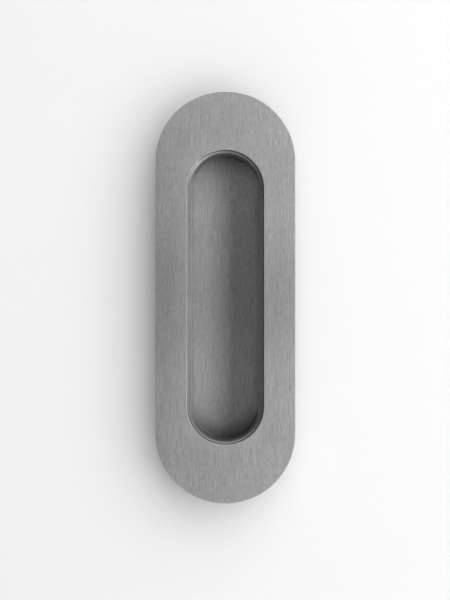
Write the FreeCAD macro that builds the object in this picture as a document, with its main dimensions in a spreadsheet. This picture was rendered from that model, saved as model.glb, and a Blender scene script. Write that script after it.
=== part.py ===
"""Flush pull for a sliding pocket door, in millimetres.

A round-ended steel plate stands on the door's face, and a drawn finger cup reaches into a pocket
cut in the door behind it. The cup's brim lies in a rebate in the plate's back, just below flush.
The long side is upright (+Z), the face looks along -Y, and the origin is the middle of the
plate's back, in the plane of the door's face.
"""
import FreeCAD, Part
import Sketcher
import math
import os

SIZES = {
    "plate_length": 118.0,
    "plate_width": 40.0,
    "plate_thickness": 2.5,
    "plate_edge_radius": 0.15,
    "opening_length": 84.5,
    "opening_width": 22.0,
    "opening_edge_radius": 0.15,
    "recess_depth": 11.0,
    "cup_sheet": 1.0,
    "cup_corner_radius": 0.3,
    "cup_bend_radius": 3.0,
    "wall_draft": 5.0,
    "mouth_inset": 0.7,
    "brim_overlap": 5.0,
    "brim_clearance": 0.1,
    "brim_relief": 0.2,
}
SMALLEST_CUT = 0.01
FLAT_WITHIN = 0.001

# Outlines, each the plate's or the opening's own, moved outwards by an amount from the sheet
PLATE = ("sizes.plate_width", "sizes.plate_length")
OPENING = ("sizes.opening_width", "sizes.opening_length")
TO_BRIM = "sizes.brim_overlap"
TO_REBATE = "sizes.brim_overlap + sizes.brim_clearance"
TO_CUP_INSIDE = "-sizes.mouth_inset"
TO_CUP_OUTSIDE = "sizes.cup_sheet - sizes.mouth_inset"

# Depths from the door's face, and the radii of the bent sheet's outer sides
FLOOR_DEPTH = "sizes.recess_depth - sizes.plate_thickness"
CUP_DEPTH = f"{FLOOR_DEPTH} + sizes.cup_sheet"
REBATE_DEPTH = "sizes.cup_sheet + sizes.brim_relief"
MOUTH_RADIUS = "sizes.cup_bend_radius + sizes.cup_sheet"
BACK_RADIUS = "sizes.cup_corner_radius + sizes.cup_sheet"
NARROWING = "-sizes.wall_draft"

doc = FreeCAD.newDocument("pocket_door_pull")
sizes = doc.addObject("Spreadsheet::Sheet", "sizes")
for row, (alias, value) in enumerate(SIZES.items(), start=1):
    sizes.set(f"A{row}", alias)
    sizes.set(f"B{row}", str(value))
    sizes.setAlias(f"B{row}", alias)
doc.recompute()


def round_ended_sketch(body, name, outline, outwards="0", forwards="0"):
    """Two upright lines joined by half circles, on a plane forwards of the door's face."""
    width, length = (f"({side} + 2 * ({outwards}))" for side in outline)
    door_face = next(plane for plane in body.Origin.OriginFeatures if plane.Role == "XZ_Plane")
    sketch = body.newObject("Sketcher::SketchObject", name)
    sketch.AttachmentSupport = (door_face, [""])
    sketch.MapMode = "FlatFace"
    sketch.setExpression(".AttachmentOffset.Base.z", forwards)

    # A first shape near the final one, which the constraints then size
    radius, rise = 10.0, 30.0
    right_foot = FreeCAD.Vector(radius, -rise, 0)
    right_head = FreeCAD.Vector(radius, rise, 0)
    left_head = FreeCAD.Vector(-radius, rise, 0)
    left_foot = FreeCAD.Vector(-radius, -rise, 0)
    facing = FreeCAD.Vector(0, 0, 1)
    top_circle = Part.Circle(FreeCAD.Vector(0, rise, 0), facing, radius)
    bottom_circle = Part.Circle(FreeCAD.Vector(0, -rise, 0), facing, radius)
    right = sketch.addGeometry(Part.LineSegment(right_foot, right_head))
    top = sketch.addGeometry(Part.ArcOfCircle(top_circle, 0, math.pi))
    left = sketch.addGeometry(Part.LineSegment(left_head, left_foot))
    bottom = sketch.addGeometry(Part.ArcOfCircle(bottom_circle, math.pi, 2 * math.pi))

    start, end, centre = 1, 2, 3
    origin, upright_axis = -1, -2
    loop = [right, top, left, bottom]
    for this, following in zip(loop, loop[1:] + loop[:1]):
        sketch.addConstraint(Sketcher.Constraint("Tangent", this, end, following, start))
    sketch.addConstraint(Sketcher.Constraint("Vertical", right))
    sketch.addConstraint(Sketcher.Constraint("PointOnObject", top, centre, upright_axis))
    sketch.addConstraint(Sketcher.Constraint("Symmetric", top, centre, bottom, centre, origin, start))
    end_radius = sketch.addConstraint(Sketcher.Constraint("Radius", top, radius))
    spacing = sketch.addConstraint(Sketcher.Constraint("DistanceY", bottom, centre, top, centre, 2 * rise))
    sketch.renameConstraint(end_radius, "end_radius")
    sketch.renameConstraint(spacing, "centre_spacing")
    sketch.setExpression("Constraints.end_radius", f"{width} / 2")
    sketch.setExpression("Constraints.centre_spacing", f"{length} - {width}")
    return sketch


def pad(body, name, sketch, thickness, into_door=False, draft="0"):
    feature = body.newObject("PartDesign::Pad", name)
    feature.Profile = sketch
    feature.setExpression("Length", thickness)
    feature.setExpression("TaperAngle", draft)
    feature.Reversed = into_door
    doc.recompute()
    return feature


def pocket(body, name, sketch, depth, into_door=False, draft="0"):
    before = body.Shape.Volume
    feature = body.newObject("PartDesign::Pocket", name)
    feature.Profile = sketch
    feature.setExpression("Length", depth)
    feature.setExpression("TaperAngle", draft)
    feature.Reversed = not into_door
    doc.recompute()
    if before - body.Shape.Volume < SMALLEST_CUT:
        raise RuntimeError(f"{name} cuts nothing")
    return feature


def faces_by_depth(shape):
    """The flat faces parallel to the door, from the front one to the one deepest in the door."""
    parallel = [face for face in shape.Faces if face.BoundBox.YLength < FLAT_WITHIN]
    return sorted(parallel, key=lambda face: face.CenterOfMass.y)


def outer_edges(face):
    return face.OuterWire.Edges


def inner_edges(face):
    return [edge for wire in face.Wires if not wire.isSame(face.OuterWire) for edge in wire.Edges]


def fillet(body, name, edges, radius):
    base = body.Tip
    wanted = [
        f"Edge{number}"
        for number, edge in enumerate(base.Shape.Edges, start=1)
        if any(edge.isSame(other) for other in edges)
    ]
    feature = body.newObject("PartDesign::Fillet", name)
    feature.Base = (base, wanted)
    feature.setExpression("Radius", radius)
    doc.recompute()
    return feature


def make_face_plate():
    """Flat plate with a round-ended opening and a rebate in its back for the cup's brim."""
    body = doc.addObject("PartDesign::Body", "face_plate")
    outline = round_ended_sketch(body, "plate_outline", PLATE)
    pad(body, "plate", outline, "sizes.plate_thickness")
    opening = round_ended_sketch(body, "opening_outline", OPENING)
    pocket(body, "opening", opening, "sizes.plate_thickness")
    rebate = round_ended_sketch(body, "rebate_outline", OPENING, TO_REBATE)
    pocket(body, "brim_rebate", rebate, REBATE_DEPTH)
    front = faces_by_depth(body.Tip.Shape)[0]
    fillet(body, "plate_edge", outer_edges(front), "sizes.plate_edge_radius")
    front = faces_by_depth(body.Tip.Shape)[0]
    fillet(body, "opening_edge", inner_edges(front), "sizes.opening_edge_radius")
    return body


def make_recess_cup():
    """Drawn cup: flat brim, a wide bend half hidden by the plate, drafted walls, crisp corner, flat floor."""
    body = doc.addObject("PartDesign::Body", "recess_cup")
    brim = round_ended_sketch(body, "brim_outline", OPENING, TO_BRIM, "sizes.brim_relief")
    pad(body, "brim", brim, "sizes.cup_sheet")
    outside = round_ended_sketch(body, "outside_outline", OPENING, TO_CUP_OUTSIDE, REBATE_DEPTH)
    pad(body, "cup_block", outside, f"{REBATE_DEPTH} + {CUP_DEPTH}", into_door=True, draft=NARROWING)
    inside = round_ended_sketch(body, "inside_outline", OPENING, TO_CUP_INSIDE, REBATE_DEPTH)
    pocket(body, "hollow", inside, f"{REBATE_DEPTH} + {FLOOR_DEPTH}", into_door=True, draft=NARROWING)
    brim_front, brim_back, floor, back = range(4)
    rounds = [
        ("mouth_roll", brim_front, inner_edges, MOUTH_RADIUS),
        ("brim_bend", brim_back, inner_edges, "sizes.cup_bend_radius"),
        ("floor_corner", floor, outer_edges, "sizes.cup_corner_radius"),
        ("back_corner", back, outer_edges, BACK_RADIUS),
    ]
    for name, face, edges_of, radius in rounds:
        fillet(body, name, edges_of(faces_by_depth(body.Tip.Shape)[face]), radius)
    return body


sub_parts = [make_face_plate(), make_recess_cup()]
doc.recompute()

for item in doc.Objects:
    if {"Invalid", "Error"} & set(item.State):
        raise RuntimeError(f"{item.Label} failed: {item.State}")
for body in sub_parts:
    if body.Shape.isNull() or not body.Shape.isValid():
        raise RuntimeError(f"{body.Label} has no valid shape")

os.makedirs("parts", exist_ok=True)
for body in sub_parts:
    body.Shape.exportStep(f"parts/{body.Label}.step")
    box = body.Shape.BoundBox
    print(f"{body.Label}: {body.Shape.Volume:.1f} mm3, y {box.YMin:.2f} to {box.YMax:.2f}")
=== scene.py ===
# %% [markdown]
# A flush pull for a sliding pocket door: a round-ended steel plate on the door's face, and behind
# it a cup drawn from sheet steel, which takes the fingertips. The imported solids fix its size. This
# lesson gives them their finish: satin steel brushed along its length, crisp edges, painted shade in
# the recess and a painted shadow line where the two meet, a duller back, and the spot welds that hold cup and
# plate together.

# %% Load the frame
import math

import bpy
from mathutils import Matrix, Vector


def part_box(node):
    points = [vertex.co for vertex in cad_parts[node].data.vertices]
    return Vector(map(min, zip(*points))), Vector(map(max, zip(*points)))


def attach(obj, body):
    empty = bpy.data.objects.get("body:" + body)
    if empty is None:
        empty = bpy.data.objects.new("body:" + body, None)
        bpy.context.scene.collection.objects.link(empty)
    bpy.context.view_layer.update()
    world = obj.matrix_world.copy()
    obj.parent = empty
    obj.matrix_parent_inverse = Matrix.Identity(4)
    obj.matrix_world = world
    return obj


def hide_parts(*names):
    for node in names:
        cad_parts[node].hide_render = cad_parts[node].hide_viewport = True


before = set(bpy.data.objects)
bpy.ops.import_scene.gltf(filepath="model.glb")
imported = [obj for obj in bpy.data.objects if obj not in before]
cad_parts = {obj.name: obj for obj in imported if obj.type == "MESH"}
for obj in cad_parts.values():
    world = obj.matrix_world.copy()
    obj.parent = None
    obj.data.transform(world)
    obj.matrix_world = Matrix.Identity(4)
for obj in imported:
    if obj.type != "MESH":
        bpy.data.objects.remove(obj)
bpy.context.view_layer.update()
MM = 0.001

# %% [markdown]
# Geometry Nodes and materials are both trees of nodes, so a few helpers build either kind. The
# first adds a node, sets its options and fills its inputs, each with a value or with a link. The
# others are short ways to write sums, smooth steps, vectors and colour mixes.

# %% Helpers for node trees
VALUE, WHOLE = "NodeSocketFloat", "NodeSocketInt"
GEOMETRY, MATERIAL = "NodeSocketGeometry", "NodeSocketMaterial"


def add_node(tree, kind, inputs=(), **options):
    """Adds a node; each input is given by name or number, as a value or as another node's socket."""
    node = tree.nodes.new(kind)
    for option, value in options.items():
        setattr(node, option, value)
    for key, value in dict(inputs).items():
        if isinstance(value, bpy.types.NodeSocket):
            tree.links.new(value, node.inputs[key])
        else:
            node.inputs[key].default_value = value
    return node


def calc(tree, operation, *values):
    return add_node(tree, "ShaderNodeMath", dict(enumerate(values)), operation=operation).outputs[0]


def squared(tree, value):
    return calc(tree, "MULTIPLY", value, value)


def ramp(tree, value, start, end, low=0.0, high=1.0):
    """A smooth step from low to high while value goes from start to end."""
    inputs = {"Value": value, "From Min": start, "From Max": end, "To Min": low, "To Max": high}
    return add_node(tree, "ShaderNodeMapRange", inputs, interpolation_type="SMOOTHSTEP").outputs[0]


def fade(tree, distance, span, low=0.0, high=1.0):
    """A smooth step over a span that is given as two distances in millimetres."""
    return ramp(tree, distance, span[0] * MM, span[1] * MM, low, high)


def grey(level):
    return (level, level, level, 1.0)


def mix_colour(tree, factor, low, high):
    return add_node(tree, "ShaderNodeMix", {0: factor, 6: low, 7: high}, data_type="RGBA").outputs[2]


def mix_value(tree, factor, low, high):
    return add_node(tree, "ShaderNodeMix", {0: factor, 2: low, 3: high}).outputs[0]


def vector(tree, **parts):
    return add_node(tree, "ShaderNodeCombineXYZ", parts).outputs[0]


def xyz(tree, whole):
    return add_node(tree, "ShaderNodeSeparateXYZ", {0: whole}).outputs


def new_tree(name, kind, inputs, outputs):
    """An empty node group with named sockets, and the sockets that bring its inputs in."""
    tree = bpy.data.node_groups.new(name, kind)
    for label, socket_type in inputs.items():
        tree.interface.new_socket(label, in_out="INPUT", socket_type=socket_type)
    for label, socket_type in outputs.items():
        tree.interface.new_socket(label, in_out="OUTPUT", socket_type=socket_type)
    return tree, tree.nodes.new("NodeGroupInput").outputs


print("helpers ready")

# %% [markdown]
# On the real pull the brushing runs lengthwise. Fine scratches are about a third of a millimetre
# apart and a few millimetres long, so the pattern is noise that is squeezed across the grain and
# drawn out along it. The cup was brushed as flat sheet and then drawn, so its lines climb the end
# walls and run along the side walls. A picture could be wrapped on, but noise read from two
# numbers, one across the grain and one along it, follows the bent sheet without a seam.

# %% Shader group: brushed grain
GRAIN_FINENESS = 0.6


def place_on_piece(tree):
    """Where a spot lies, as x, y and z."""
    return xyz(tree, add_node(tree, "ShaderNodeTexCoord").outputs["Object"])


def facing(tree):
    """Which way a spot faces, as x, y and z."""
    return xyz(tree, add_node(tree, "ShaderNodeNewGeometry").outputs["Normal"])


def brushed_grain_group():
    tree, given = new_tree(
        "brushed grain", "ShaderNodeTree",
        {"Width": VALUE, "Length": VALUE, "Detail": VALUE, "Shift": VALUE}, {"Streaks": VALUE},
    )
    x, y, z = place_on_piece(tree)
    facing_x, _, facing_z = facing(tree)
    across = calc(tree, "MULTIPLY_ADD", y, squared(tree, facing_x), x)
    along = calc(tree, "MULTIPLY_ADD", y, squared(tree, facing_z), z)
    across = calc(tree, "DIVIDE", across, given["Width"])
    along = calc(tree, "DIVIDE", along, given["Length"])
    noise = add_node(tree, "ShaderNodeTexNoise", {
        "Vector": vector(tree, X=across, Y=along, Z=given["Shift"]),
        "Scale": 1.0, "Detail": given["Detail"], "Roughness": GRAIN_FINENESS,
    })
    add_node(tree, "NodeGroupOutput", {"Streaks": noise.outputs["Fac"]})
    return tree


brushed_grain = brushed_grain_group()
print("group:", brushed_grain.name, [item.name for item in brushed_grain.interface.items_tree])

# %% [markdown]
# Wear, dirt and polish gather along edges, and every edge here is a round-ended outline. Its
# distance from any point has a short formula: the distance to the straight line between the two
# end centres, less the radius. That is exact, and it needs no dense mesh as baked curvature would.

# %% Shader group: distance from a round-ended outline


def outline_distance_group():
    tree, given = new_tree(
        "outline distance", "ShaderNodeTree",
        {"End Centre": VALUE, "Radius": VALUE}, {"Distance": VALUE},
    )
    x, _, z = place_on_piece(tree)
    beyond = calc(tree, "SUBTRACT", calc(tree, "ABSOLUTE", z), given["End Centre"])
    beyond = calc(tree, "MAXIMUM", beyond, 0.0)
    squares = calc(tree, "MULTIPLY_ADD", x, x, squared(tree, beyond))
    distance = calc(tree, "SUBTRACT", calc(tree, "SQRT", squares), given["Radius"])
    add_node(tree, "NodeGroupOutput", {"Distance": distance})
    return tree


outline_distance = outline_distance_group()
print("group:", outline_distance.name)

# %% [markdown]
# Steel that is handled is never evenly clean. Soft blotches, about a fingertip wide, dull the gloss
# a little, and on the unbrushed back they are the mottling that rolling and pickling leave. Both
# are the same cloudy noise, so one group serves both.

# %% Shader group: blotches
CLOUD_DETAIL, CLOUD_FINENESS = 4.0, 0.55
CLOUD_EDGE = (0.35, 0.7)


def blotches_group():
    tree, given = new_tree(
        "blotches", "ShaderNodeTree", {"Size": VALUE, "Shift": VALUE}, {"Blotches": VALUE},
    )
    noise = add_node(tree, "ShaderNodeTexNoise", {
        "Vector": add_node(tree, "ShaderNodeTexCoord").outputs["Object"],
        "W": given["Shift"], "Scale": calc(tree, "DIVIDE", 1.0, given["Size"]),
        "Detail": CLOUD_DETAIL, "Roughness": CLOUD_FINENESS,
    }, noise_dimensions="4D")
    add_node(tree, "NodeGroupOutput", {"Blotches": ramp(tree, noise.outputs["Fac"], *CLOUD_EDGE)})
    return tree


blotches = blotches_group()
print("group:", blotches.name)

# %% [markdown]
# The sizes that the section needs, in millimetres. The outer ones are read from the solids' boxes,
# and the others are the workshop's own, so that the dressed pieces lie exactly on the solids.

# %% Sizes of the plate and the cup
plate_low, plate_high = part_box("face_plate")
cup_low, cup_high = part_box("recess_cup")
PLATE_HALF_WIDTH, PLATE_HALF_LENGTH = plate_high.x / MM, plate_high.z / MM
PLATE_FRONT = plate_low.y / MM
OPENING_WIDTH, OPENING_LENGTH = 22.0, 84.5
EDGE_RADIUS = 0.15
SHEET, BRIM_CLEARANCE = 1.0, 0.1
BRIM_FRONT, CUP_BACK = cup_low.y / MM, cup_high.y / MM
BRIM_BACK, CUP_FLOOR = BRIM_FRONT + SHEET, CUP_BACK - SHEET
MOUTH_INSET, BEND_RADIUS, CORNER_RADIUS = 0.7, 3.0, 0.3
WALL_LEAN = math.radians(5.0)
opening_half_width = OPENING_WIDTH / 2
opening_end_centre = (OPENING_LENGTH - OPENING_WIDTH) / 2
plate_end_centre = PLATE_HALF_LENGTH - PLATE_HALF_WIDTH
plate_reach = PLATE_HALF_WIDTH - opening_half_width
brim_reach = cup_high.x / MM - opening_half_width


def wall_at(depth, outside=0.0):
    """How far outwards from the opening's edge the leaning wall lies at a depth."""
    return outside - MOUTH_INSET - math.tan(WALL_LEAN) * (depth - BRIM_FRONT)


floor_half_width = opening_half_width + wall_at(CUP_FLOOR)
print(f"plate {2 * PLATE_HALF_WIDTH:.2f} x {2 * PLATE_HALF_LENGTH:.2f} mm, cup back at {CUP_BACK:.2f} mm")
print(f"brim reaches {brim_reach:.2f} mm past the opening, floor {2 * floor_half_width:.2f} mm wide")

# %% [markdown]
# Satin steel is a metal with a rough, slightly stretched gloss: each scratch is a tiny groove, so
# light spreads more across the grain than along it. The Principled shader's anisotropy does that,
# with its tangent laid across the grain. The scratches themselves shift colour, roughness and
# height: short and long ones are mixed, as worn grit leaves them, with faint broad bands on top. The
# side towards the door was never brushed, so it is duller and mottled.

# %% Satin steel, the finish that both pieces share
ROUGHNESS, ANISOTROPY = 0.55, 0.35
BRUSHED_DARK, BRUSHED_LIGHT = 0.265, 0.415
MILL_DARK, MILL_LIGHT = 0.22, 0.29

# Width and length of each kind of mark in millimetres, and how the kinds are mixed
SHORT_SCRATCH, LONG_SCRATCH, BROAD_BAND = (0.26, 1.8), (0.30, 7.0), (2.2, 60.0)
LONG_SHIFT, BAND_SHIFT, MOTTLE_SHIFT = 5.0, 7.0, 1.0
LONG_SHARE, BAND_SHARE = 0.5, 0.12
GRAIN_DETAIL = 2.0
SMUDGE_SIZE, MOTTLE_SIZE = 14.0, 5.0

# What the marks do: the streaks' range for colour and for gloss, and how much each mark dulls
COLOUR_RANGE, GLOSS_RANGE = (0.3, 0.7), (0.2, 0.8)
STREAK_DULLS, SMUDGE_DULLS, MILL_DULLS = 0.05, 0.03, 0.08
SCRATCH_DEPTH, BUMP_STRENGTH = 0.01, 0.25
DOOR_SIDE = (0.02, 0.07)


def group_node(tree, group, inputs):
    return add_node(tree, "ShaderNodeGroup", inputs, node_tree=group).outputs[0]


def grain(tree, size, shift):
    width, length = size
    inputs = {"Width": width * MM, "Length": length * MM, "Detail": GRAIN_DETAIL, "Shift": shift}
    return group_node(tree, brushed_grain, inputs)


def clouds(tree, size, shift):
    return group_node(tree, blotches, {"Size": size * MM, "Shift": shift})


def from_outline(tree, end_centre, radius):
    return group_node(tree, outline_distance, {"End Centre": end_centre * MM, "Radius": radius * MM})


def metal(name):
    """A new metal, its tree and its shader."""
    material = bpy.data.materials.new(name)
    material.use_nodes = True
    shader = material.node_tree.nodes["Principled BSDF"]
    shader.inputs["Metallic"].default_value = 1.0
    return material, material.node_tree, shader


def satin_steel(name, shift, tone=1.0):
    """A brushed metal; gives the material, its tree and shader, and the colour and roughness to build on."""
    material, tree, shader = metal(name)
    shader.inputs["Anisotropic"].default_value = ANISOTROPY
    facing_x, facing_y, _ = facing(tree)
    door_side = ramp(tree, facing_y, *DOOR_SIDE)

    short = grain(tree, SHORT_SCRATCH, shift)
    long = grain(tree, LONG_SCRATCH, shift + LONG_SHIFT)
    broad = grain(tree, BROAD_BAND, shift + BAND_SHIFT)
    fine = mix_value(tree, LONG_SHARE, short, long)
    streaks = calc(tree, "MULTIPLY_ADD", calc(tree, "SUBTRACT", broad, 0.5), BAND_SHARE, fine)
    smudges = clouds(tree, SMUDGE_SIZE, shift)
    mottling = clouds(tree, MOTTLE_SIZE, shift + MOTTLE_SHIFT)

    lightness = ramp(tree, streaks, *COLOUR_RANGE)
    brushed = mix_colour(tree, lightness, grey(BRUSHED_DARK * tone), grey(BRUSHED_LIGHT * tone))
    mill = mix_colour(tree, mottling, grey(MILL_DARK), grey(MILL_LIGHT))
    colour = mix_colour(tree, door_side, brushed, mill)
    rough = ramp(tree, streaks, *GLOSS_RANGE, ROUGHNESS + STREAK_DULLS, ROUGHNESS - STREAK_DULLS)
    rough = calc(tree, "MULTIPLY_ADD", smudges, SMUDGE_DULLS, rough)
    rough = calc(tree, "MULTIPLY_ADD", door_side, MILL_DULLS, rough)

    bump = add_node(tree, "ShaderNodeBump", {
        "Strength": BUMP_STRENGTH, "Distance": SCRATCH_DEPTH * MM, "Height": fine,
    })
    tree.links.new(bump.outputs[0], shader.inputs["Normal"])
    across = vector(tree, X=1.0, Y=squared(tree, facing_x))
    tree.links.new(across, shader.inputs["Tangent"])
    return material, tree, shader, colour, rough


print("satin steel from", BRUSHED_DARK, "to", BRUSHED_LIGHT)

# %% [markdown]
# The plate's edges are where hands and cloths rub, so a thin line along both outlines is a little
# brighter and smoother than the face, and a wider band round the opening is faintly brighter too.
# Both sides of the plate are also made a little darker at mid height than at the ends.

# %% Material: the plate
MID_DARKENING_SPAN, MID_DARKENING = (0.0, 28.0), 0.15
RUBBED_SPAN, RUBBED_SHARE, RUBBED_GLOSS = (0.0, 0.3), 0.25, 0.08
WORN_SPAN, WORN_SHARE = (0.0, 5.0), 0.12
BRIGHT_STEEL = 0.5


def mid_height_darkening(tree, level):
    """Darkening that is strongest at mid height and fades out towards the ends."""
    return fade(tree, calc(tree, "ABSOLUTE", level), MID_DARKENING_SPAN, MID_DARKENING, 0.0)


plate_steel, tree, shader, colour, rough = satin_steel("plate_satin_steel", shift=0.0)
outer = calc(tree, "ABSOLUTE", from_outline(tree, plate_end_centre, PLATE_HALF_WIDTH))
inner = calc(tree, "ABSOLUTE", from_outline(tree, opening_end_centre, opening_half_width))
rubbed = fade(tree, calc(tree, "MINIMUM", outer, inner), RUBBED_SPAN, 1.0, 0.0)
worn = fade(tree, inner, WORN_SPAN, WORN_SHARE, 0.0)
_, _, level = place_on_piece(tree)
# The plate's colour is made darker towards mid height.
colour = mix_colour(tree, mid_height_darkening(tree, level), colour, grey(0.0))
bright = calc(tree, "MAXIMUM", worn, calc(tree, "MULTIPLY", rubbed, RUBBED_SHARE))
colour = mix_colour(tree, bright, colour, grey(BRIGHT_STEEL))
rough = calc(tree, "MULTIPLY_ADD", rubbed, -RUBBED_GLOSS, rough)
tree.links.new(colour, shader.inputs["Base Color"])
tree.links.new(rough, shader.inputs["Roughness"])
print("material:", plate_steel.name, len(tree.nodes), "nodes")

# %% [markdown]
# Where the cup's painted shade falls depends on where a spot lies, so that comes first. The distance
# from the corner between wall and floor is measured along the sheet: inwards over the floor, or up the
# wall, where it counts half. How steep a spot is comes from its normal. The other masks are smooth
# steps: near the two ends, past the straight sides, at the low end, and from left to right.

# %% Material: the cup, and where a spot lies on it
CUP_TONE = 1.03
UP_THE_WALL = 0.5
ENDS_MIDDLE, ENDS_SPAN = 2.0, (31.0, 40.0)
PAST_STRAIGHT_SPAN = (31.0, 36.0)
LOW_END_SPAN = (-36.0, -29.0)
LEFT_TO_RIGHT_SPAN = (-8.0, 8.0)
cup_steel, tree, shader, colour, rough = satin_steel("cup_satin_steel", shift=3.0, tone=CUP_TONE)
sideways, depth, level = place_on_piece(tree)
_, facing_y, _ = facing(tree)
flatness = calc(tree, "ABSOLUTE", facing_y)
foot = from_outline(tree, opening_end_centre, floor_half_width)
inwards = calc(tree, "MAXIMUM", calc(tree, "MULTIPLY", foot, -1.0), 0.0)
upwards = calc(tree, "MAXIMUM", calc(tree, "SUBTRACT", CUP_FLOOR * MM, depth), 0.0)
from_corner = calc(tree, "MULTIPLY_ADD", upwards, UP_THE_WALL, inwards)
from_ends_middle = calc(tree, "ABSOLUTE", calc(tree, "SUBTRACT", level, ENDS_MIDDLE * MM))
at_ends = fade(tree, from_ends_middle, ENDS_SPAN)
past_straight = fade(tree, calc(tree, "ABSOLUTE", level), PAST_STRAIGHT_SPAN)
low_end = fade(tree, level, LOW_END_SPAN, 1.0, 0.0)
on_right = fade(tree, sideways, LEFT_TO_RIGHT_SPAN)
print("cup floor at", round(CUP_FLOOR, 2), "mm, masks:", len(tree.nodes), "nodes so far")

# %% [markdown]
# The cup's colour carries painted shade. It darkens the corner between wall and floor, most of all
# at the two ends and on the right, which lies in shade, and paints a dark shadow line along the seam
# under the plate's edge, faint at the far left. On the left, which faces the main light, a fine dark
# line in the corner is painted over the corner's highlight. The walls are painted darker than the
# floor, more on the right, and the cup is painted darker at mid height than at its ends. Each mark is
# a mask of its own, and the strongest one counts, so that marks which overlap don't add up to black.

# %% Material: the cup's painted shade in corners, seam and walls
# The colour that the painted shade darkens towards
SHADE_COLOUR = 0.04

# Strengths on the left and on the right
END_SHADE, SIDE_SHADE = (0.45, 0.95), (0.03, 0.20)
LINE_AT_ENDS, LINE_AT_SIDES = (0.05, 0.95), (0.55, 0.25)
SEAM_SHADOW, WALL_SHADE_SIDES = (0.3, 0.9), (0.16, 0.32)

# Strengths that are the same on both sides
END_SHADE_MOST, LINE_AT_LOW_END, SEAM_SHADOW_AT_LOW_END, WALL_SHADE_ENDS = 0.7, 0.13, 0.8, 0.6

# Reaches and spans in millimetres, and how flat a drawn wall still is
END_SHADE_REACH, SIDE_SHADE_SPAN = 4.6, (0.0, 2.0)
LINE_SPAN, SEAM_SHADOW_SPAN, SEAM_SHADOW_SIDE_SPAN = (0.15, 0.5), (0.22, 0.4), (-10.5, -6.0)
STEEP_ENDS, STEEP_SIDES = (0.2, 0.48), (0.55, 0.75)

# Painted shade in the corner at the two ends, strongest on the right
end_strength = calc(tree, "MINIMUM", mix_value(tree, on_right, *END_SHADE), END_SHADE_MOST)
end_share = calc(tree, "DIVIDE", from_corner, END_SHADE_REACH * MM)
end_reach = calc(tree, "MAXIMUM", calc(tree, "SUBTRACT", 1.0, end_share), 0.0)
end_shade = calc(tree, "MULTIPLY", calc(tree, "MULTIPLY", at_ends, end_strength), end_reach)
# Painted shade along the corner of the straight sides, mostly on the right
side_strength = mix_value(tree, on_right, *SIDE_SHADE)
side_shade = calc(tree, "MULTIPLY", fade(tree, from_corner, SIDE_SHADE_SPAN, 1.0, 0.0), side_strength)

# A narrow painted dark line in the corner; on the left it is painted over the corner's highlight
line_strength = calc(tree, "MULTIPLY", at_ends, mix_value(tree, on_right, *LINE_AT_ENDS))
line_strength = calc(tree, "MULTIPLY_ADD", low_end, LINE_AT_LOW_END, line_strength)
line_strength = calc(tree, "ADD", line_strength, mix_value(tree, on_right, *LINE_AT_SIDES))
line = calc(tree, "MULTIPLY", fade(tree, from_corner, LINE_SPAN, 1.0, 0.0), line_strength)

# A painted shadow line under the plate's edge, faint at the far left and strong at the low end
edge = calc(tree, "ABSOLUTE", from_outline(tree, opening_end_centre, opening_half_width))
seam_shadow_strength = fade(tree, sideways, SEAM_SHADOW_SIDE_SPAN, *SEAM_SHADOW)
seam_shadow_low = calc(tree, "MULTIPLY", low_end, SEAM_SHADOW_AT_LOW_END)
seam_shadow_strength = calc(tree, "MAXIMUM", seam_shadow_strength, seam_shadow_low)
seam_shadow = calc(tree, "MULTIPLY", fade(tree, edge, SEAM_SHADOW_SPAN, 1.0, 0.0), seam_shadow_strength)

# Walls painted darker than the floor as painted shade, more on the right
wall_shade_ends = calc(tree, "MULTIPLY", ramp(tree, flatness, *STEEP_ENDS, WALL_SHADE_ENDS, 0.0), past_straight)
straight = calc(tree, "SUBTRACT", 1.0, past_straight)
wall_shade_strength = calc(tree, "MULTIPLY", straight, mix_value(tree, on_right, *WALL_SHADE_SIDES))
wall_shade_sides = calc(tree, "MULTIPLY", ramp(tree, flatness, *STEEP_SIDES, 1.0, 0.0), wall_shade_strength)

# All the painted shade together, the darkest mark winning, starting from the darker middle
painted_shade = mid_height_darkening(tree, level)
for mark in (end_shade, side_shade, line, seam_shadow, wall_shade_ends, wall_shade_sides):
    painted_shade = calc(tree, "MAXIMUM", painted_shade, mark)
tree.links.new(mix_colour(tree, painted_shade, colour, grey(SHADE_COLOUR)), shader.inputs["Base Color"])
tree.links.new(rough, shader.inputs["Roughness"])
print("material:", cup_steel.name, len(tree.nodes), "nodes")

# %% [markdown]
# Plate, cup and welds all follow a round-ended path. A curve could be drawn point by point, but a
# circle whose two halves are pushed apart gives exact arcs and straight sides from three numbers.

# %% Geometry Nodes: a round-ended path


def position(tree):
    return xyz(tree, add_node(tree, "GeometryNodeInputPosition").outputs[0])


def half_of(tree, value):
    return calc(tree, "MULTIPLY", value, 0.5)


def round_ended_path_tree():
    tree, given = new_tree(
        "round ended path", "GeometryNodeTree",
        {"Width": VALUE, "Length": VALUE, "Steps": WHOLE}, {"Path": GEOMETRY},
    )
    circle = add_node(tree, "GeometryNodeCurvePrimitiveCircle", {
        "Resolution": given["Steps"], "Radius": half_of(tree, given["Width"]),
    })
    half_step = calc(tree, "DIVIDE", math.pi, given["Steps"])
    turned = add_node(tree, "GeometryNodeTransform", {
        "Geometry": circle.outputs[0], "Rotation": vector(tree, Z=half_step),
    })
    _, lengthwise, _ = position(tree)
    end_centre = half_of(tree, calc(tree, "SUBTRACT", given["Length"], given["Width"]))
    apart = calc(tree, "MULTIPLY", calc(tree, "SIGN", lengthwise), end_centre)
    halves = add_node(tree, "GeometryNodeSetPosition", {
        "Geometry": turned.outputs[0], "Offset": vector(tree, Y=apart),
    })
    add_node(tree, "NodeGroupOutput", {"Path": halves.outputs[0]})
    return tree


round_ended_path = round_ended_path_tree()
print("tree:", round_ended_path.name)

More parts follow.
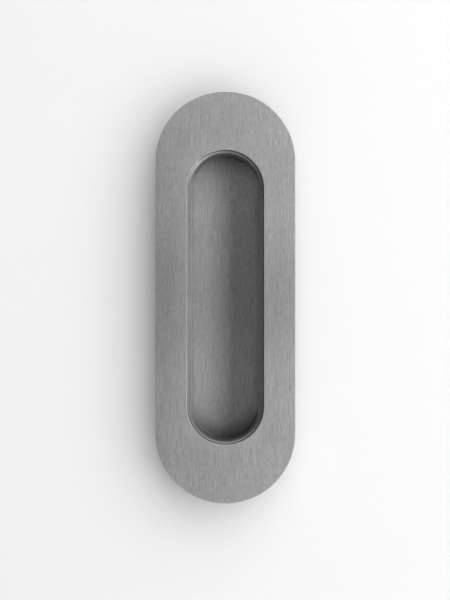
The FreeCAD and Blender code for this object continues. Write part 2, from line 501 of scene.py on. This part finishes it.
# %% [markdown]
# Plate and cup are each one section carried round that path. The section is a chain of corners,
# each with the radius it is rounded to. The tree rounds it, sweeps it, stands it upright and merges
# the seam. At its ends the plate is wider than at its sides, so points out past the brim's rebate
# are pushed towards the ends.

# %% Geometry Nodes: a section swept round the path
MERGE_WITHIN = 0.01
SHARP_ANGLE = math.radians(30)
UPRIGHT = (math.pi / 2, 0.0, 0.0)


def swept_section_tree():
    tree, given = new_tree(
        "swept section", "GeometryNodeTree",
        {
            "Section": GEOMETRY, "Path Width": VALUE, "Path Length": VALUE,
            "Path Steps": WHOLE, "Round Steps": WHOLE,
            "Stretch From": VALUE, "Stretch To": VALUE, "End Stretch": VALUE, "Material": MATERIAL,
        },
        {"Swept": GEOMETRY},
    )
    tree.is_modifier = True
    outwards, lengthwise, _ = position(tree)

    # The section, with its corners rounded and its share of the end stretch noted on each point
    corners = add_node(tree, "GeometryNodeMeshToCurve", {"Mesh": given["Section"]})
    radius = add_node(tree, "GeometryNodeInputNamedAttribute", {"Name": "round"}, data_type="FLOAT")
    section = add_node(tree, "GeometryNodeFilletCurve", {
        "Curve": corners.outputs[0], "Count": given["Round Steps"],
        "Radius": radius.outputs[0], "Limit Radius": True,
    }, mode="POLY")
    share = add_node(tree, "ShaderNodeMapRange", {
        "Value": outwards, "From Min": given["Stretch From"], "From Max": given["Stretch To"],
    })
    section = add_node(tree, "GeometryNodeStoreNamedAttribute", {
        "Geometry": section.outputs[0], "Name": "reach", "Value": share.outputs[0],
    }, data_type="FLOAT", domain="POINT")

    # The sweep
    path = add_node(tree, "GeometryNodeGroup", {
        "Width": given["Path Width"], "Length": given["Path Length"], "Steps": given["Path Steps"],
    }, node_tree=round_ended_path)
    path = add_node(tree, "GeometryNodeSetCurveNormal", {"Curve": path.outputs[0]}, mode="Z_UP")
    sweep = add_node(tree, "GeometryNodeCurveToMesh", {
        "Curve": path.outputs[0], "Profile Curve": section.outputs[0],
    })

    # The push towards the ends, full past the end centres and even in between
    end_centre = half_of(tree, calc(tree, "SUBTRACT", given["Path Length"], given["Path Width"]))
    side = add_node(tree, "ShaderNodeMapRange", {
        "Value": lengthwise, "From Min": calc(tree, "MULTIPLY", end_centre, -1.0), "From Max": end_centre,
        "To Min": -1.0, "To Max": 1.0,
    })
    reach = add_node(tree, "GeometryNodeInputNamedAttribute", {"Name": "reach"}, data_type="FLOAT")
    push = calc(tree, "MULTIPLY", side.outputs[0], reach.outputs[0])
    push = calc(tree, "MULTIPLY", push, given["End Stretch"])
    shape = add_node(tree, "GeometryNodeSetPosition", {
        "Geometry": sweep.outputs[0], "Offset": vector(tree, Y=push),
    })

    # Upright, merged, smooth but for corners, and with its material
    shape = add_node(tree, "GeometryNodeTransform", {"Geometry": shape.outputs[0], "Rotation": UPRIGHT})
    shape = add_node(tree, "GeometryNodeMergeByDistance", {
        "Geometry": shape.outputs[0], "Distance": MERGE_WITHIN * MM,
    })
    shape = add_node(tree, "GeometryNodeSetShadeSmooth", {
        "Geometry": shape.outputs[0], "Shade Smooth": True,
    }, domain="FACE")
    bend = add_node(tree, "GeometryNodeInputMeshEdgeAngle").outputs["Unsigned Angle"]
    shape = add_node(tree, "GeometryNodeSetShadeSmooth", {
        "Geometry": shape.outputs[0], "Shade Smooth": False,
        "Selection": calc(tree, "GREATER_THAN", bend, SHARP_ANGLE),
    }, domain="EDGE")
    shape = add_node(tree, "GeometryNodeRealizeInstances", {"Geometry": shape.outputs[0]})
    shape = add_node(tree, "GeometryNodeSetMaterial", {
        "Geometry": shape.outputs[0], "Material": given["Material"],
    })
    add_node(tree, "NodeGroupOutput", {"Swept": shape.outputs[0]})
    return tree


swept_section = swept_section_tree()
print("tree:", swept_section.name, len(swept_section.nodes), "nodes")

# %% [markdown]
# A tree only works through a modifier. Each of its inputs is set by the socket's identifier, and
# then the result is turned into a plain mesh.
# Normals weighted by area keep the flat faces flat next to the small rounds.

# %% From tree to plain mesh


def made_by_tree(name, tree, values, start_mesh):
    """Runs a Geometry Nodes tree on a starting mesh and keeps the result as a plain mesh."""
    maker = bpy.data.objects.new(name + "_maker", start_mesh)
    bpy.context.scene.collection.objects.link(maker)
    modifier = maker.modifiers.new(tree.name, "NODES")
    modifier.node_group = tree
    identifiers = {item.name: item.identifier for item in tree.interface.items_tree if item.in_out == "INPUT"}
    for label, value in values.items():
        modifier[identifiers[label]] = value
    flat_faces = maker.modifiers.new("normals by area", "WEIGHTED_NORMAL")
    flat_faces.keep_sharp = True
    evaluated = maker.evaluated_get(bpy.context.evaluated_depsgraph_get())
    mesh = bpy.data.meshes.new_from_object(evaluated)
    mesh.name = name
    maker.modifiers.clear()
    bpy.data.objects.remove(maker)
    return mesh


def section_chain(name, corners, closed):
    """Corners as (outwards from the path, depth, radius) in millimetres, joined by edges."""
    mesh = bpy.data.meshes.new(name)
    edges = [(number, number + 1) for number in range(len(corners) - 1)]
    if closed:
        edges.append((len(corners) - 1, 0))
    mesh.from_pydata([(out * MM, depth * MM, 0.0) for out, depth, _ in corners], edges, [])
    rounds = mesh.attributes.new("round", "FLOAT", "POINT")
    rounds.data.foreach_set("value", [radius * MM for _, _, radius in corners])
    return mesh


def dress(name, mesh, replaced=()):
    """Puts a plain mesh on the pull as a piece of its own, and hides the solid that it stands for."""
    piece = bpy.data.objects.new(name, mesh)
    bpy.context.scene.collection.objects.link(piece)
    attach(piece, "root")
    for node in replaced:
        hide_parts(node)
    print(piece.name, len(mesh.polygons), "faces", [round(side / MM, 2) for side in piece.dimensions], "mm")
    return piece


print("ready to make pieces")

# %% [markdown]
# The plate is cut from thicker sheet: an outer edge and an opening, both barely broken, and a rebate
# in its back for the cup's brim. Brushing wheels bear harder near the rim, so the face falls away
# there by a fraction of a millimetre, too little to measure by eye but enough to shift the light.

# %% The plate
CROWN_TILT = math.radians(2.8)
CROWN_REACH = 3.5
PATH_STEPS, ROUND_STEPS = 96, 8
rebate_reach = brim_reach + BRIM_CLEARANCE
crown_drop = CROWN_REACH * math.tan(CROWN_TILT)
crown_radius = CROWN_REACH / math.tan(CROWN_TILT / 2)
plate_section = section_chain("plate_section", [
    (rebate_reach, 0.0, 0.0),
    (rebate_reach, BRIM_FRONT, 0.0),
    (0.0, BRIM_FRONT, 0.0),
    (0.0, PLATE_FRONT, EDGE_RADIUS),
    (plate_reach - CROWN_REACH, PLATE_FRONT, crown_radius),
    (plate_reach, PLATE_FRONT + crown_drop, EDGE_RADIUS / 2),
    (plate_reach, 0.0, 0.0),
], closed=True)
opening_path = {
    "Path Width": OPENING_WIDTH * MM, "Path Length": OPENING_LENGTH * MM,
    "Path Steps": PATH_STEPS, "Round Steps": ROUND_STEPS,
}
plate_values = opening_path | {
    "Stretch From": rebate_reach * MM, "Stretch To": plate_reach * MM,
    "End Stretch": (plate_end_centre - opening_end_centre) * MM, "Material": plate_steel,
}
plate_mesh = made_by_tree("satin_plate", swept_section, plate_values, plate_section)
plate = dress("satin_plate", plate_mesh, ["face_plate"])

# %% [markdown]
# The cup is thinner sheet, drawn deep: a flat brim, a bend half hidden by the plate, a wall that
# leans in a little so that the die lets go of it, a crisp corner and a flat floor.

# %% The cup
cup_section = section_chain("cup_section", [
    (-opening_half_width, CUP_FLOOR, 0.0),
    (wall_at(CUP_FLOOR), CUP_FLOOR, CORNER_RADIUS),
    (wall_at(BRIM_FRONT), BRIM_FRONT, BEND_RADIUS + SHEET),
    (brim_reach, BRIM_FRONT, 0.0),
    (brim_reach, BRIM_BACK, 0.0),
    (wall_at(BRIM_BACK, SHEET), BRIM_BACK, BEND_RADIUS),
    (wall_at(CUP_BACK, SHEET), CUP_BACK, CORNER_RADIUS + SHEET),
    (-opening_half_width, CUP_BACK, 0.0),
], closed=False)
cup_mesh = made_by_tree("drawn_cup", swept_section, opening_path | {"Material": cup_steel}, cup_section)
cup = dress("drawn_cup", cup_mesh, ["recess_cup"])

# %% [markdown]
# Spot welds hold the brim in its rebate. Each leaves a shallow dimple with a raised ring, tinted by
# the heat: straw first, and blue at its rim. The tint follows the distance from the mark's middle,
# which the tree in the next step notes on each point.

# %% Material: the spot welds
DIMPLE_DARK, DIMPLE_LIGHT = 0.13, 0.20
STRAW, BLUED = (0.27, 0.21, 0.14, 1.0), (0.11, 0.13, 0.17, 1.0)
STRAW_RING, BLUED_RING = (0.35, 0.65), (0.7, 1.0)
WELD_ROUGHNESS = (0.5, 0.65)
WELD_CLOUD_SIZE, WELD_CLOUD_SHIFT = 0.8, 5.0


def weld_steel_material():
    material, tree, shader = metal("weld_tinted_steel")
    from_middle = add_node(tree, "ShaderNodeAttribute", attribute_name="from_middle").outputs["Fac"]
    cloudy = clouds(tree, WELD_CLOUD_SIZE, WELD_CLOUD_SHIFT)
    dimple = mix_colour(tree, cloudy, grey(DIMPLE_DARK), grey(DIMPLE_LIGHT))
    straw = mix_colour(tree, ramp(tree, from_middle, *STRAW_RING), dimple, STRAW)
    tint = mix_colour(tree, ramp(tree, from_middle, *BLUED_RING), straw, BLUED)
    tree.links.new(tint, shader.inputs["Base Color"])
    tree.links.new(ramp(tree, cloudy, 0.0, 1.0, *WELD_ROUGHNESS), shader.inputs["Roughness"])
    return material


weld_steel = weld_steel_material()
print("material:", weld_steel.name)

# %% [markdown]
# One mark is a small section swept round a circle. A second tree sets copies of it at even steps
# along the brim, each a little larger or smaller, as the electrode wears. Marks could be placed one
# by one, but along the path they keep their distance when the sizes change.

# %% Geometry Nodes: marks along the path
BRIM_STEPS = 192


def marks_along_path_tree():
    tree, given = new_tree(
        "marks along a path", "GeometryNodeTree",
        {
            "Mark": GEOMETRY, "Path Width": VALUE, "Path Length": VALUE, "Depth": VALUE,
            "Count": WHOLE, "Mark Radius": VALUE, "Smallest": VALUE, "Largest": VALUE,
            "Seed": WHOLE, "Material": MATERIAL,
        },
        {"Marks": GEOMETRY},
    )
    tree.is_modifier = True
    x, _, z = position(tree)
    outwards = calc(tree, "SQRT", calc(tree, "MULTIPLY_ADD", x, x, squared(tree, z)))
    from_middle = calc(tree, "DIVIDE", outwards, given["Mark Radius"])
    mark = add_node(tree, "GeometryNodeStoreNamedAttribute", {
        "Geometry": given["Mark"], "Name": "from_middle", "Value": from_middle,
    }, data_type="FLOAT", domain="POINT")
    path = add_node(tree, "GeometryNodeGroup", {
        "Width": given["Path Width"], "Length": given["Path Length"], "Steps": BRIM_STEPS,
    }, node_tree=round_ended_path)
    path = add_node(tree, "GeometryNodeTransform", {
        "Geometry": path.outputs[0], "Rotation": UPRIGHT, "Translation": vector(tree, Y=given["Depth"]),
    })
    points = add_node(tree, "GeometryNodeCurveToPoints", {
        "Curve": path.outputs[0], "Count": given["Count"],
    }, mode="COUNT")
    # Min and Max are names of several sockets here, so the ones for plain values go by number
    size = add_node(tree, "FunctionNodeRandomValue", {
        2: given["Smallest"], 3: given["Largest"], "Seed": given["Seed"],
    }, data_type="FLOAT")
    marks = add_node(tree, "GeometryNodeInstanceOnPoints", {
        "Points": points.outputs["Points"], "Instance": mark.outputs[0], "Scale": size.outputs[1],
    })
    marks = add_node(tree, "GeometryNodeRealizeInstances", {"Geometry": marks.outputs[0]})
    marks = add_node(tree, "GeometryNodeSetMaterial", {
        "Geometry": marks.outputs[0], "Material": given["Material"],
    })
    add_node(tree, "NodeGroupOutput", {"Marks": marks.outputs[0]})
    return tree


marks_along_path = marks_along_path_tree()
print("tree:", marks_along_path.name, len(marks_along_path.nodes), "nodes")

# %% [markdown]
# Twenty welds sit in the middle of the brim's flat part, just below the plane of the plate's back,
# so the pull still beds flat on the door. A mark's section runs from under the brim's surface, up
# over the ring and down into the dimple.

# %% The spot welds
WELD_RADIUS = 1.1
WELD_LINE = 3.7
WELD_COUNT = 20
WELD_STEPS = 20
WELD_SMALLEST, WELD_LARGEST, WELD_SEED = 0.85, 1.1, 4

# Share of the mark's radius, and rise above the brim in millimetres
mark_profile = [
    (0.0, -0.03), (1.0, -0.03), (1.0, 0.0), (0.9, 0.06),
    (0.72, 0.09), (0.55, 0.06), (0.4, 0.02), (0.0, 0.01),
]
mark_corners = [(share * WELD_RADIUS - WELD_RADIUS / 2, rise, 0.0) for share, rise in mark_profile]
mark_section = section_chain("mark_section", mark_corners, closed=False)
mark_mesh = made_by_tree("weld_mark", swept_section, {
    "Path Width": WELD_RADIUS * MM, "Path Length": WELD_RADIUS * MM,
    "Path Steps": WELD_STEPS, "Round Steps": 1, "Material": weld_steel,
}, mark_section)
weld_mesh = made_by_tree("spot_welds", marks_along_path, {
    "Path Width": (OPENING_WIDTH + 2 * WELD_LINE) * MM, "Path Length": (OPENING_LENGTH + 2 * WELD_LINE) * MM,
    "Depth": BRIM_BACK * MM, "Count": WELD_COUNT, "Mark Radius": WELD_RADIUS * MM,
    "Smallest": WELD_SMALLEST, "Largest": WELD_LARGEST, "Seed": WELD_SEED, "Material": weld_steel,
}, mark_mesh)
welds = dress("spot_welds", weld_mesh)

# %% [markdown]
# The stage is a sheet of white paper right behind the cup, as in a product photograph, so the
# plate stands off it and throws a soft shadow. It is one-sided, so the back of the pull can be
# seen through it, and it blocks no light and no reflection. The floor far below is lit by little, so
# it glows for the camera alone.

# %% Stage: paper and floor
PAPER = 0.9
FLOOR_GLOW = 0.9
PAPER_GAP = 0.05
HALF_PAPER, HALF_FLOOR = 0.4, 2.0
FLOOR_LEVEL = -0.30
paper_y = (CUP_BACK + PAPER_GAP) * MM


def stage_material(name):
    """A new material with an empty tree, and the tree."""
    material = bpy.data.materials.new(name)
    material.use_nodes = True
    material.node_tree.nodes.clear()
    return material, material.node_tree


def white_paper():
    material, tree = stage_material("white_paper")
    front = add_node(tree, "ShaderNodeBsdfDiffuse", {"Color": grey(PAPER)})
    clear = add_node(tree, "ShaderNodeBsdfTransparent")
    behind = add_node(tree, "ShaderNodeNewGeometry").outputs["Backfacing"]
    mixed = add_node(tree, "ShaderNodeMixShader", {0: behind, 1: front.outputs[0], 2: clear.outputs[0]})
    add_node(tree, "ShaderNodeOutputMaterial", {"Surface": mixed.outputs[0]})
    return material


def white_floor():
    material, tree = stage_material("white_floor")
    painted = add_node(tree, "ShaderNodeBsdfDiffuse", {"Color": grey(PAPER)})
    seen = add_node(tree, "ShaderNodeLightPath").outputs["Is Camera Ray"]
    glow = add_node(tree, "ShaderNodeEmission", {
        "Color": grey(1.0), "Strength": calc(tree, "MULTIPLY", seen, FLOOR_GLOW),
    })
    both = add_node(tree, "ShaderNodeAddShader", {0: painted.outputs[0], 1: glow.outputs[0]})
    add_node(tree, "ShaderNodeOutputMaterial", {"Surface": both.outputs[0]})
    return material


def stage_sheet(name, corners, material):
    """One flat sheet of the stage; its corners run so that it faces the camera's side."""
    mesh = bpy.data.meshes.new(name)
    mesh.from_pydata(corners, [], [tuple(range(len(corners)))])
    mesh.materials.append(material)
    sheet = bpy.data.objects.new(name, mesh)
    bpy.context.scene.collection.objects.link(sheet)
    sheet.visible_shadow = False
    print(name, "faces", [round(part, 1) for part in mesh.polygons[0].normal])
    return sheet


paper = stage_sheet("paper", [
    (-HALF_PAPER, paper_y, FLOOR_LEVEL), (HALF_PAPER, paper_y, FLOOR_LEVEL),
    (HALF_PAPER, paper_y, HALF_PAPER), (-HALF_PAPER, paper_y, HALF_PAPER),
], white_paper())
paper.visible_glossy = False
floor = stage_sheet("floor", [
    (-HALF_FLOOR, -HALF_FLOOR, FLOOR_LEVEL), (HALF_FLOOR, -HALF_FLOOR, FLOOR_LEVEL),
    (HALF_FLOOR, HALF_FLOOR, FLOOR_LEVEL), (-HALF_FLOOR, HALF_FLOOR, FLOOR_LEVEL),
], white_floor())

# %% [markdown]
# The main light is a tall strip close by on the right, low enough for the recess's right wall to
# shade half its floor. A weaker strip beside it softens that shadow's edge, a faint one on the left
# lifts the shade, and two small boxes in front brighten the ends. Boxes high above and far below
# light the rounded mouth at the two ends, and one behind is for the back. A small strong lamp at the
# lower right lights the cup alone and picks out the mouth's upper left. The paper has a large soft
# light to itself, so that it can be white while the steel keeps its own tone.

# %% Lamps


def softbox(name, azimuth, elevation, distance, width, height, radiance):
    """A rectangular lamp aimed at the pull; azimuth 0 is in front and 90 at the right, in degrees."""
    light = bpy.data.lights.new(name, "AREA")
    light.shape = "RECTANGLE"
    light.size, light.size_y = width, height
    light.energy = radiance * width * height * math.pi
    lamp = bpy.data.objects.new(name, light)
    bpy.context.scene.collection.objects.link(lamp)
    turn, lift = math.radians(azimuth), math.radians(elevation)
    towards = Vector((math.sin(turn) * math.cos(lift), -math.cos(turn) * math.cos(lift), math.sin(lift)))
    lamp.location = towards * distance
    lamp.rotation_mode = "QUATERNION"
    lamp.rotation_quaternion = (-towards).to_track_quat("-Z", "Y")
    lamp.visible_camera = False
    return lamp


def lights_only(lamp, pieces):
    """Lets a lamp light some pieces and no others, as a background light in a studio does."""
    receivers = bpy.data.collections.new(lamp.name + "_lights")
    for piece in pieces:
        receivers.objects.link(piece)
    lamp.light_linking.receiver_collection = receivers


pull_lamps = [
    softbox("key", 53.5, 4.0, 0.25, 0.042, 0.50, 11.2),
    softbox("key_fill", 44.5, 4.0, 0.25, 0.035, 0.50, 6.9),
    softbox("left_fill", -52.0, 0.0, 0.3, 0.08, 0.40, 0.65),
    softbox("top_front", 0.0, 45.0, 0.17, 0.10, 0.05, 2.1),
    softbox("bottom_front", 0.0, -45.0, 0.17, 0.10, 0.05, 0.7),
    softbox("top", 0.0, 78.0, 0.5, 0.5, 0.2, 8.2),
    softbox("bottom", 10.0, -78.0, 0.5, 0.5, 0.2, 4.0),
    softbox("back", 150.0, 5.0, 0.6, 0.8, 0.8, 1.1),
]
for lamp in pull_lamps:
    lights_only(lamp, [plate, cup, welds])
kicker = softbox("kicker", 73.0, -58.0, 0.5, 0.08, 0.08, 115.0)
lights_only(kicker, [cup])
paper_light = softbox("paper_light", 30.0, 18.0, 0.7, 1.1, 1.9, 1.74)
lights_only(paper_light, [paper, floor])
print("lamps:", [lamp.name for lamp in pull_lamps + [kicker, paper_light]])

# %% [markdown]
# The world is an even, weak light from all sides. Where the camera looks past the paper, it is white,
# and so it is for what the steel mirrors on the paper's side. Light from the front stays weak.

# %% World
AMBIENT = 0.15
PAPER_SIDE = (-0.1, 0.1)
world = bpy.data.worlds.new("studio")
bpy.context.scene.world = world
world.use_nodes = True
tree = world.node_tree
background = tree.nodes["Background"]
rays = add_node(tree, "ShaderNodeLightPath").outputs
_, towards_paper, _ = xyz(tree, add_node(tree, "ShaderNodeTexCoord").outputs["Generated"])
mirrored = calc(tree, "MAXIMUM", rays["Is Glossy Ray"], rays["Is Transmission Ray"])
mirrored = calc(tree, "MULTIPLY", mirrored, ramp(tree, towards_paper, *PAPER_SIDE))
white = calc(tree, "MAXIMUM", rays["Is Camera Ray"], mirrored)
background.inputs["Color"].default_value = grey(1.0)
tree.links.new(ramp(tree, white, 0.0, 1.0, AMBIENT, 1.0), background.inputs["Strength"])
print("ambient light", AMBIENT)

# %% [markdown]
# The photograph is taken square on and from some way off, so the walls of the recess show evenly all
# round. The lens follows from how wide the plate is in the picture.

# %% Camera
CAMERA_DISTANCE = 1.0
CAMERA_ACROSS, CAMERA_LEVEL = -0.12, -0.75
IMAGE_HEIGHT = 600
PIXELS_ACROSS_PLATE = 139.8
camera = bpy.data.cameras.new("camera")
camera_object = bpy.data.objects.new("camera", camera)
bpy.context.scene.collection.objects.link(camera_object)
camera_object.location = (CAMERA_ACROSS * MM, -CAMERA_DISTANCE, CAMERA_LEVEL * MM)
camera_object.rotation_euler = UPRIGHT
seen_height = IMAGE_HEIGHT * 2 * PLATE_HALF_WIDTH * MM / PIXELS_ACROSS_PLATE
camera.lens = camera.sensor_width * (CAMERA_DISTANCE + PLATE_FRONT * MM) / seen_height
bpy.context.scene.camera = camera_object
bpy.context.scene.view_settings.view_transform = "Standard"
print("lens", round(camera.lens, 1), "mm")
